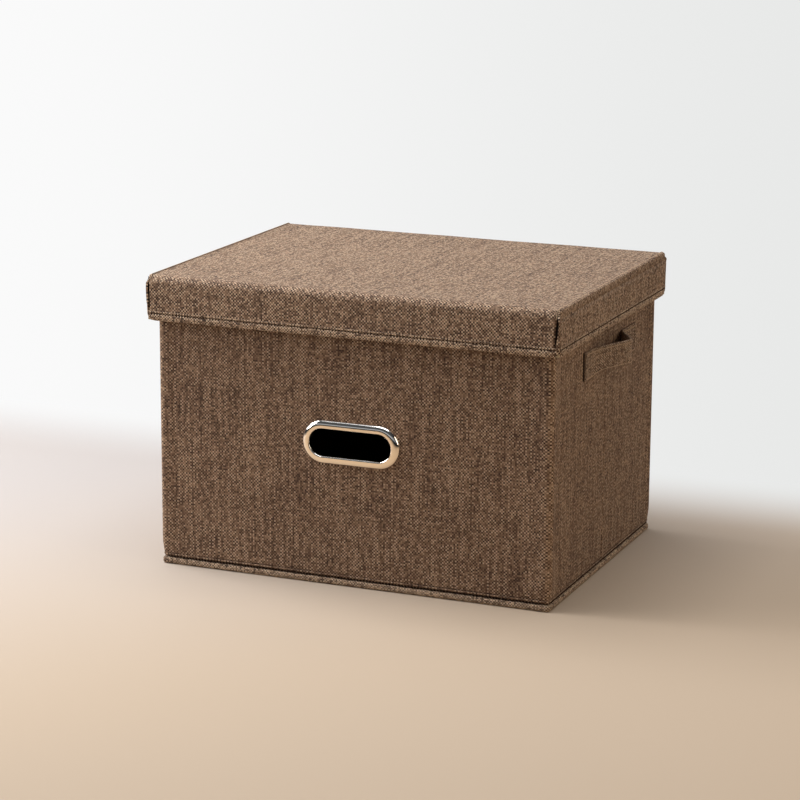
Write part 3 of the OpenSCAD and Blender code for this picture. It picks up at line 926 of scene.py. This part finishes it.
def add_strap_slot_shades(name, side, bodies):
    """Slots in the wall that the strap's two ends pass into, gaping a little at the front. Each is a
    near-black strip: painted shade for the inside of the slit.
    """
    for way, body_name, wide, end in ((-1, bodies[0], 1.3, "front"), (1, bodies[1], 0.6, "rear")):
        line = [(Vector((side * (WALL_X + 0.1 * MM), STRAP_Y + way * (STRAP_REACH + 0.2 * MM), z)),
                 Vector((side, 0, 0)), Vector((0, way, 0)), z)
                for z in spread(STRAP_Z - STRAP_W / 2, STRAP_Z + STRAP_W / 2, 4 * MM)]
        section = mm((0.5, -0.4), (0.5, wide * 0.5), (0.2, wide), (-0.2, wide), (-0.2, -0.4))
        # painted shade: a near-black strip where the inside of the slit is in shade
        slot = sweep(f"{name}_slot_{end}", line, section, painted_shadow_cloth)
        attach(slot, body_name)


def strap_rows(name, stations):
    """Two long rows of top-stitching, and a short row of stitches across each sewn tab. The long rows are
    pale and thick: partly stitching, partly a painted highlight along the strap's lit edges.
    """
    half, thick = STRAP_W / 2, STRAP_T / 2
    row = half * 0.79
    lines = [[(place + out * thick * 1.1 + up * z, out) for place, out, up, _ in stations[1:-1]]
             for z in (-half * 0.92, row)]
    lines += [[(place + out * thick * 1.06 + up * z, out) for z in (-row, row)]
              for place, out, up, _ in (stations[1], stations[-2])]
    # pale long rows: partly thread, partly a painted highlight on the strap's edges
    kinds = 2 * [(pale_thread, 0.9 * MM)] + 2 * [(dark_thread, 0.5 * MM)]
    return [stitches(f"{name}_stitches_{number}", line, material, thick=width, share=0.9)
            for number, (line, (material, width)) in enumerate(zip(lines, kinds))]


def add_strap(name, side, bodies):
    """Folded strap with pillowed edges and its stitches."""
    half, thick = STRAP_W / 2, STRAP_T / 2
    face = [(thick * x, half * z) for x, z in PILLOW]
    outer = face + [(x, -z) for x, z in face[-2::-1]]
    section = outer + [(-min(x, thick), z) for x, z in reversed(outer)]
    stations = strap_stations(side)
    strap = sweep(name, stations, section, strap_cloth)
    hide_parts("strap_right" if side > 0 else "strap_left")
    for piece in (strap, *strap_rows(name, stations)):
        for vertex in piece.data.vertices:
            vertex.co.z = gathered(vertex.co.y, vertex.co.z)
        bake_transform(piece)
    add_strap_slot_shades(name, side, bodies)


add_strap("strap_right_webbing", 1, ("right_front", "right_rear"))
add_strap("strap_left_webbing", -1, ("left_front", "left_rear"))

# ---------- Lid ----------
LEAN = 0.3 * MM  # how far the skirt leans in at its lower edge
EDGE_Z = LID_TOP - LID_EDGE_R  # where the skirt ends and the rounded edge starts
SEAM_FLAP = 3.3 * MM  # cloth of a side skirt turned over onto the lid's top
SEAM_RISE = 0.8 * MM  # height of that cloth's edge over the top
SLIT_TOP = LID_TOP - 1.5 * MM  # upper end of the open slit beside each corner of the skirt
SLIT_LOW = HEM_TOP + 1.2 * MM
HEM_SHARE = 7 * MM  # height over which the corners tuck in towards the skirt's lower edge
SKIRT_HEIGHTS = spread(SKIRT_LOW, EDGE_Z, 6 * MM)
lid_wave = wave(85 * MM, 0.45 * MM, 21)


def lean(z):
    return LEAN * min(max((EDGE_Z - z) / (EDGE_Z - SKIRT_LOW), 0), 1)


def lid_profile():
    """Outer face of the lid across its depth, from the back's lower edge over the top: (y, z)."""
    edge_y = LID_Y - LID_EDGE_R
    skirt = [(LID_Y - lean(z), z) for z in SKIRT_HEIGHTS]
    arc = [(edge_y + LID_EDGE_R * math.cos(a), EDGE_Z + LID_EDGE_R * math.sin(a))
           for a in spread(0, QUARTER, QUARTER / ARC_STEPS)][1:]
    top = [(y, LID_TOP) for y in spread(edge_y, -edge_y, GRID)][1:-1]
    half = skirt + arc
    return half + top + [(-y, z) for y, z in reversed(half)]


PROFILE = lid_profile()


def profile_out(i):
    """The direction out of the lid at a point of its profile."""
    ahead = heading(PROFILE, i)
    return Vector((0, ahead.y, -ahead.x))


def topness(z):
    """0 on the skirt and 1 on the lid's top."""
    return smooth((z - LID_TOP + LID_EDGE_R) / LID_EDGE_R)


def slit(z, side):
    """The open slit beside a corner at a height: the distances of its two edges in from the lid's side. It
    gapes more on the right."""
    down = min(max((SLIT_TOP - z) / (SLIT_TOP - SLIT_LOW), 0), 1)
    top, slope, narrow, gape = (1.3, 2.5, 0.35, 0.75) if side > 0 else (1.2, 0.7, 0.3, 0.3)
    middle = (top + slope * down) * MM
    half = (narrow + gape * math.sin(math.pi * down) ** 0.6) * MM
    return middle - half, middle + half


def cover_end(z, side):
    """How far the lid's main cloth reaches to a side at a height."""
    return LID_X - slit(z, side)[1] * (1 - topness(z)) - SEAM_FLAP * topness(z)


def near_corner(x, y, reach, width):
    """1 at the lid's corners, falling to 0 over a width that starts at a reach from them."""
    return smooth((abs(x) - LID_X + reach) / width) * smooth((abs(y) - LID_Y + reach) / width)


def tuck_corners(piece):
    """Draws the lid's corners in towards the skirt's lower edge, and rounds them at its top."""
    for vertex in piece.data.vertices:
        x, y, z = vertex.co
        round_off = near_corner(x, y, 7 * MM, 7 * MM) * smooth((z - LID_TOP + 9 * MM) / (9 * MM))
        tuck = near_corner(x, y, 9 * MM, 8 * MM) * (1 - smooth((z - HEM_LOW) / HEM_SHARE))
        inward = 1.5 * MM * round_off + 1.6 * MM * tuck
        vertex.co -= Vector((math.copysign(inward, x), math.copysign(inward, y), 1.2 * MM * round_off))


def add_lid_cover():
    """One sheet over the front skirt, the top and the back skirt, with its edges turned in at the corners."""
    columns = spread(-1, 1, GRID / LID_X)
    near = [1 - k * MM / LID_X for k in (0.0, 0.6, 1.4, 2.6)]
    shares = {round(c, 6) for c in columns if abs(c) < 1 - 4 * MM / LID_X} | set(near) | {-n for n in near}
    stations = [(Vector((share * LID_X, 0, 0)), Vector((0, 1, 0)), UP, share * LID_X)
                for share in sorted(shares)]
    cover = sweep("lid_cover_cloth", stations, shell(PROFILE, CLOTH_T), lid_cloth, first_v=0.4)
    for vertex in cover.data.vertices:
        x, y, z = vertex.co
        vertex.co.x = x / LID_X * cover_end(z, x)
        from_end = LID_X - abs(x)
        rise = lid_wave(x, y + z) * smooth(from_end / (25 * MM)) * smooth((z - HEM_TOP) / (8 * MM))
        up = topness(z)
        turned = 1.3 * MM * (1 - smooth(from_end / (1.5 * MM))) * (1 - up)
        vertex.co += Vector((0, math.copysign(1 - up, y), up)).normalized() * (rise - turned)
    tuck_corners(cover)
    stand_for(cover, ["lid_cover"], "cloth", "lid", (2 * LID_X, length_of(PROFILE)),
              ["lid_top_board", "lid_front_board", "lid_back_board"])


def wrapped_edge(z, side):
    """A side's cloth round the lid's edge at a height: distances in from the side, and heights over the
    profile."""
    up = topness(z)
    flap = max(slit(z, side)[0], 0.8 * MM) * (1 - up) + SEAM_FLAP * up
    radius = min(0.9 * MM, flap * 0.55) * (1 - up) + 1.8 * MM * up
    rise = 0.15 * MM + ((SEAM_RISE if side > 0 else SEAM_RISE / 2) - 0.15 * MM) * up
    return [(flap, -0.9 * MM), (flap - 0.12 * MM, rise * 0.4), (flap - 0.3 * MM, rise),
            ((flap + radius) / 2, rise), (radius, rise * 0.7), (radius * 0.3, rise * 0.7 - radius * 0.3),
            (0, rise * 0.7 - radius), (0, -LID_EDGE_R)]


def lid_side_mesh(name, side):
    """The wrapped edge along the profile, and the flat cloth of the skirt between its two ends."""
    points, uvs = [], []
    for i, (y, z) in enumerate(PROFILE):
        edge = wrapped_edge(z, side)
        out, columns = profile_out(i), len(edge)
        for x_in, height in edge:
            spot = Vector((0, y, z)) + out * height
            points.append((side * (LID_X - lean(z) - x_in), spot.y, spot.z))
            flat = Vector((0, y, z)) + out * (x_in + min(height, 0))
            uvs.append((flat.y * side, flat.z + 0.7))
    count, levels, base = len(PROFILE), len(SKIRT_HEIGHTS), len(points)
    across = count - 2 * (levels - 1 + ARC_STEPS)
    for row in range(levels):
        back = Vector(points[(row + 1) * columns - 1])
        front = Vector(points[(count - row) * columns - 1])
        for k in range(across):
            spot = back.lerp(front, k / (across - 1))
            points.append(tuple(spot))
            uvs.append((spot.y * side, spot.z + 0.7))

    def grid(rows, width, first):
        return quads(rows - 1, width - 1, lambda i, k: (first + i * width + k, uvs[first + i * width + k]))

    return mesh_piece(name, points, grid(count, columns, 0) + grid(levels, across, base), lid_cloth)


def add_lid_side(name, side):
    """Cloth of a side skirt, turned round onto the front and back and raised along the top seam."""
    panel = lid_side_mesh(name, side)
    bulge = wave(60 * MM, 0.4 * MM, 30 + side)
    for vertex in panel.data.vertices:
        x, y, z = vertex.co
        share = smooth((LID_Y - abs(y)) / (20 * MM)) * smooth((LID_TOP - z) / (10 * MM))
        share *= smooth((z - HEM_TOP) / (8 * MM))
        vertex.co.x += side * bulge(y, z) * share
    tuck_corners(panel)
    thicken(panel, CLOTH_T * 0.9)
    which = "right" if side > 0 else "left"
    stand_for(panel, [f"lid_{which}_cover"], "cloth", "lid",
              (2 * (LID_Y + 3 * MM), LID_TOP - SKIRT_LOW + SEAM_FLAP), [f"lid_{which}_board"])


def add_seam_cord(side, name, inward, radius, thread_kind):
    """Fine cord along a side seam of the lid's top, a little inward of its folded edge. A pale cord is partly
    thread and partly a painted highlight where the seam's ridge catches the light; a near-black one is a
    painted shadow line.
    """
    stations = []
    for i, (y, z) in enumerate(PROFILE):
        if z < EDGE_Z:
            continue
        out, up = profile_out(i), topness(z)
        place = Vector((side * (LID_X - SEAM_FLAP + 0.1 * MM - inward), y, z))
        place += out * (max(SEAM_RISE * 0.75 - inward, radius / 2) * up - 0.4 * MM * (1 - up))
        stations.append((place, out, Vector((side, 0, 0)), i * GRID))
    section = [(radius * math.cos(a), radius * math.sin(a)) for a in spread(0, 2 * math.pi, 0.79)[:-1]]
    cord = sweep(name, stations, section, thread_kind)
    tuck_corners(cord)
    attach(cord, "lid")


def add_corner_slit_shade(name, side, way):
    """Near-black strip of cloth behind the slit at one corner of the lid: painted shade for the slit's
    shadowed inside.
    """
    stations = []
    for i, (y, z) in enumerate(PROFILE):
        if y * way < 0 or not SLIT_LOW - 3 * MM < z < SLIT_TOP + 1 * MM:
            continue
        out = profile_out(i)
        place = Vector((side * (LID_X - sum(slit(z, side)) / 2 - 0.2 * MM), y, z)) - out * 1.1 * MM
        stations.append((place, out, Vector((1, 0, 0)), z))
    section = mm((0.15, -1.9), (0.15, 1.6), (-0.1, 1.6), (-0.1, -1.9))
    # painted shade: the strip's near-black felt stands for the shade inside the slit
    fold = sweep(name, stations, section, painted_shadow_cloth)
    tuck_corners(fold)
    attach(fold, "lid")


def add_lid_lining():
    """Lining sheet under the lid's top and inside its skirt."""
    half_x, half_y = LID_INNER_X - LINING_T / 2, LID_INNER_Y - LINING_T / 2
    top = LID_INNER_TOP - LINING_T / 2
    drop = top - SKIRT_LOW
    levels = [(0, SKIRT_LOW + drop * k / 5, drop * (5 - k) / 5) for k in range(5)]
    levels += [(0, top - 1.5 * MM, 1.5 * MM), (0.5 * MM, top - 0.4 * MM, 0.4 * MM), (1.6 * MM, top, 0),
               (30 * MM, top, 0), (90 * MM, top, 0)]
    rings = [(Outline(half_x - inset, half_y - inset, 2 * MM), z, wrapped) for inset, z, wrapped in levels]
    lining = ring_piece("lid_lining_sheet", rings, lining_felt, LINING_T)
    stand_for(lining, ["lid_lining"], "lining", "lid", (2 * (LID_INNER_X + drop), 2 * (LID_INNER_Y + drop)),
              ["lid_top_board"])


def add_lid_hem():
    """Tape folded round the skirt's lower edge, and its stitches."""
    edge = Outline(LID_X - LEAN, LID_Y - LEAN, 3 * MM)
    stations = edge.stations(0, edge.length, 5 * MM)
    height = HEM_TOP - HEM_LOW
    inside = -WALL_T - HEM_T + LEAN
    roll = bent([(inside, 3 * MM), (inside, 0), (0.2 * MM, 0), (0.75 * MM, 3.2 * MM)], 2 * MM)
    sewn_in = mm((0.9, 4), (0.85, 5.2), (0.5, 6), (0, 6.6), (0, 7), (0.45, 7.5), (0.7, 8.2), (0.6, 8.8))
    path = [(x, z + HEM_LOW) for x, z in ((inside, height), *roll, *sewn_in, (0.2 * MM, height))]
    uneven = wave(24 * MM, 0.3 * MM, 55)

    def ripple(u, z):
        return uneven(abs(u - edge.length / 2), z) * smooth((z - HEM_LOW) / (2 * MM))

    hem = sweep("lid_hem_tape", stations, shell(path, HEM_T * 0.8), tape_cloth, closed=True, ripple=ripple)
    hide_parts("lid_hem")
    line = [(place + out * (0.1 * MM + ripple(u, HEM_LOW + 7 * MM)) + up * (HEM_LOW + 6.8 * MM), out)
            for place, out, up, u in stations]
    # the hem's stitches are thick and dark: partly thread, partly painted shade for the groove they sit in
    sewn = stitches("lid_hem_stitches", line, dark_thread, thick=1.0 * MM, share=0.72)
    for piece in (hem, sewn):
        tuck_corners(piece)
        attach(piece, "lid")


add_lid_cover()
add_lid_side("lid_right_cover_cloth", 1)
add_lid_side("lid_left_cover_cloth", -1)
# pale cords: partly thread, partly a painted highlight along each seam's ridge; the near-black cord is a
# painted shadow line
add_seam_cord(1, "lid_right_seam_cord", 0, 0.42 * MM, pale_thread)
add_seam_cord(1, "lid_right_seam_shadow", 0.6 * MM, 0.35 * MM, painted_shadow_cloth)
add_seam_cord(-1, "lid_left_seam_cord", 0, 0.3 * MM, pale_thread)
# near-black strips behind the corner slits: painted shade
for ending, side, way in (("rf", 1, -1), ("rb", 1, 1), ("lb", -1, 1), ("lf", -1, -1)):
    add_corner_slit_shade(f"lid_corner_slit_shade_{ending}", side, way)
add_lid_lining()
add_lid_hem()

# ---------- CAD nodes that stay ----------
for name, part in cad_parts.items():
    if not part.hide_render:
        part.data.materials.clear()
        part.data.materials.append(ring_chrome if name.endswith("ring") else board_stock)

# ---------- Camera, floor and light ----------
CAMERA_FOCAL_PX = 2745.4  # focal length, where the frame is FRAME_PX wide
FRAME_PX = 800
CAMERA_AZIMUTH = math.radians(22.45)
CAMERA_ELEVATION = math.radians(13.58)
CAMERA_ROLL = math.radians(0.32)
CAMERA_DISTANCE = 2.6209
CAMERA_TARGET = Vector((-24.9, 30.6, 133.0)) * MM
LAMP_TARGET = Vector((0, 0, 0.12))
FLOOR_R = 14
FLOOR_WARM = (0.515, 0.41, 0.312)
# painted window light: the floor's cooler tint to the left and behind
FLOOR_WINDOW_LIT = (0.48, 0.442, 0.425)
FLOOR_MIRRORED = (0.97, 0.83, 0.66)  # tint of the floor where polished metal mirrors it
LAMPS = (  # name, place, size in metres, power in watts, colour
    ("key", (-1.2, -0.6, 0.7), 0.7, 11, (1, 0.98, 0.96)),
    ("window", (-1.4, -0.1, 1.3), 0.9, 23.5, (0.98, 0.99, 1)),
    ("top_left", (-0.8, 0.3, 1.8), 1.4, 9, (1, 1, 1)),
    ("overhead", (0, -0.2, 2), 1.4, 20, (1, 1, 1)),
    ("fill", (1.7, -0.2, 0.8), 1.0, 8, (1, 0.85, 0.64)),
)
AMBIENT = 0.12  # strength of the world's light on the object
MIRRORED_FRONT = (  # heights, and the brightness of what polished metal mirrors there in front
    (0.15, 0.02), (0.24, 0.42), (0.38, 0.42), (0.48, 0.07), (0.84, 0.07), (0.95, 0.7))


def add_camera():
    level = Vector((math.sin(CAMERA_AZIMUTH), -math.cos(CAMERA_AZIMUTH), 0))
    back = level * math.cos(CAMERA_ELEVATION) + UP * math.sin(CAMERA_ELEVATION)
    right = Vector((math.cos(CAMERA_AZIMUTH), math.sin(CAMERA_AZIMUTH), 0))
    up = back.cross(right)
    across = right * math.cos(CAMERA_ROLL) + up * math.sin(CAMERA_ROLL)
    above = up * math.cos(CAMERA_ROLL) - right * math.sin(CAMERA_ROLL)
    camera = new_object("camera", bpy.data.cameras.new("camera"))
    camera.data.sensor_width = 36
    camera.data.lens = CAMERA_FOCAL_PX / FRAME_PX * camera.data.sensor_width
    turned = Matrix((across, above, back)).transposed().to_4x4()
    camera.matrix_world = Matrix.Translation(CAMERA_TARGET + back * CAMERA_DISTANCE) @ turned
    bpy.context.scene.camera = camera


def floor_material():
    """Warm round the box, with painted window light making it cooler to the left and behind; plain white for
    the camera further back, with painted shade greying that white towards the right.
    """
    material, tree = new_material("floor")
    x, y, _ = axes_of(tree, place_of(tree))
    rays = node(tree, "ShaderNodeLightPath").outputs

    def mixed(factor, a, b):
        return node(tree, "ShaderNodeMix", {0: factor, 6: (*a, 1), 7: (*b, 1)}, data_type="RGBA").outputs[2]

    # painted light: the floor turns cooler towards the left and back, where the window light falls
    window_lit_share = share_of(tree, times_plus(tree, x, -1, y), -0.5, 0.6)
    tint = mixed(rays["Is Glossy Ray"], PLAIN, FLOOR_MIRRORED)
    colour = tinted(tree, mixed(window_lit_share, FLOOR_WARM, FLOOR_WINDOW_LIT), tint)
    lit = put(tree, tree.nodes["Principled BSDF"],
              {"Base Color": colour, "Roughness": 0.7, "Specular IOR Level": 0.1}).outputs[0]
    side = sums(tree, "DIVIDE", sums(tree, "SUBTRACT", x, 1), sums(tree, "ADD", y, 2.4))
    # painted shade: the backdrop greys towards the right
    backdrop = mixed(share_of(tree, side, -0.62, -0.2), srgb(250, 250, 250), srgb(231, 232, 231))
    white = node(tree, "ShaderNodeEmission", {0: backdrop}).outputs[0]
    seen = times(tree, rays["Is Camera Ray"], share_of(tree, y, 0.165, 0.36))
    finish = node(tree, "ShaderNodeMixShader", {0: seen, 1: lit, 2: white}).outputs[0]
    tree.links.new(finish, tree.nodes["Material Output"].inputs[0])
    return material


def add_floor():
    mesh = bpy.data.meshes.new("floor")
    made = bmesh.new()
    bmesh.ops.create_circle(made, cap_ends=True, radius=FLOOR_R, segments=96)
    made.to_mesh(mesh)
    made.free()
    mesh.materials.append(floor_material())
    new_object("floor", mesh)


def add_lamp(name, place, size, power, colour):
    lamp = bpy.data.lights.new(name, "AREA")
    lamp.size = size
    lamp.energy = power
    lamp.color = colour
    holder = new_object(name, lamp)
    holder.location = place
    holder.rotation_mode = "QUATERNION"
    holder.rotation_quaternion = (LAMP_TARGET - Vector(place)).to_track_quat("-Z", "Y")


def add_world():
    """Faint even light, and a studio for polished metal to mirror: dark low down in front with a pale band
    over it, bright overhead and behind, and dim on the right."""
    world = bpy.data.worlds.new("studio")
    bpy.context.scene.world = world
    world.use_nodes = True
    tree = world.node_tree
    x, y, z = axes_of(tree, place_of(tree, "Generated"))
    rays = node(tree, "ShaderNodeLightPath").outputs
    front = ramp(tree, z, [(place, (grey, grey, grey * 1.03)) for place, grey in MIRRORED_FRONT])
    front = times(tree, front, share_of(tree, x, 0.2, 0.8, 1.0, 0.35))
    mirrored = blend_of(tree, share_of(tree, y, -0.1, 0.4), front, 0.95)
    lit = blend_of(tree, rays["Is Glossy Ray"], AMBIENT, mirrored)
    shown = sums(tree, "MAXIMUM", rays["Is Camera Ray"], rays["Is Transmission Ray"])
    strength = blend_of(tree, shown, lit, 1.0)
    put(tree, tree.nodes["Background"], {"Color": (0.98, 0.99, 1, 1), "Strength": strength})


add_camera()
add_floor()
for lamp in LAMPS:
    add_lamp(*lamp)
add_world()
bpy.context.scene.view_settings.view_transform = "Standard"
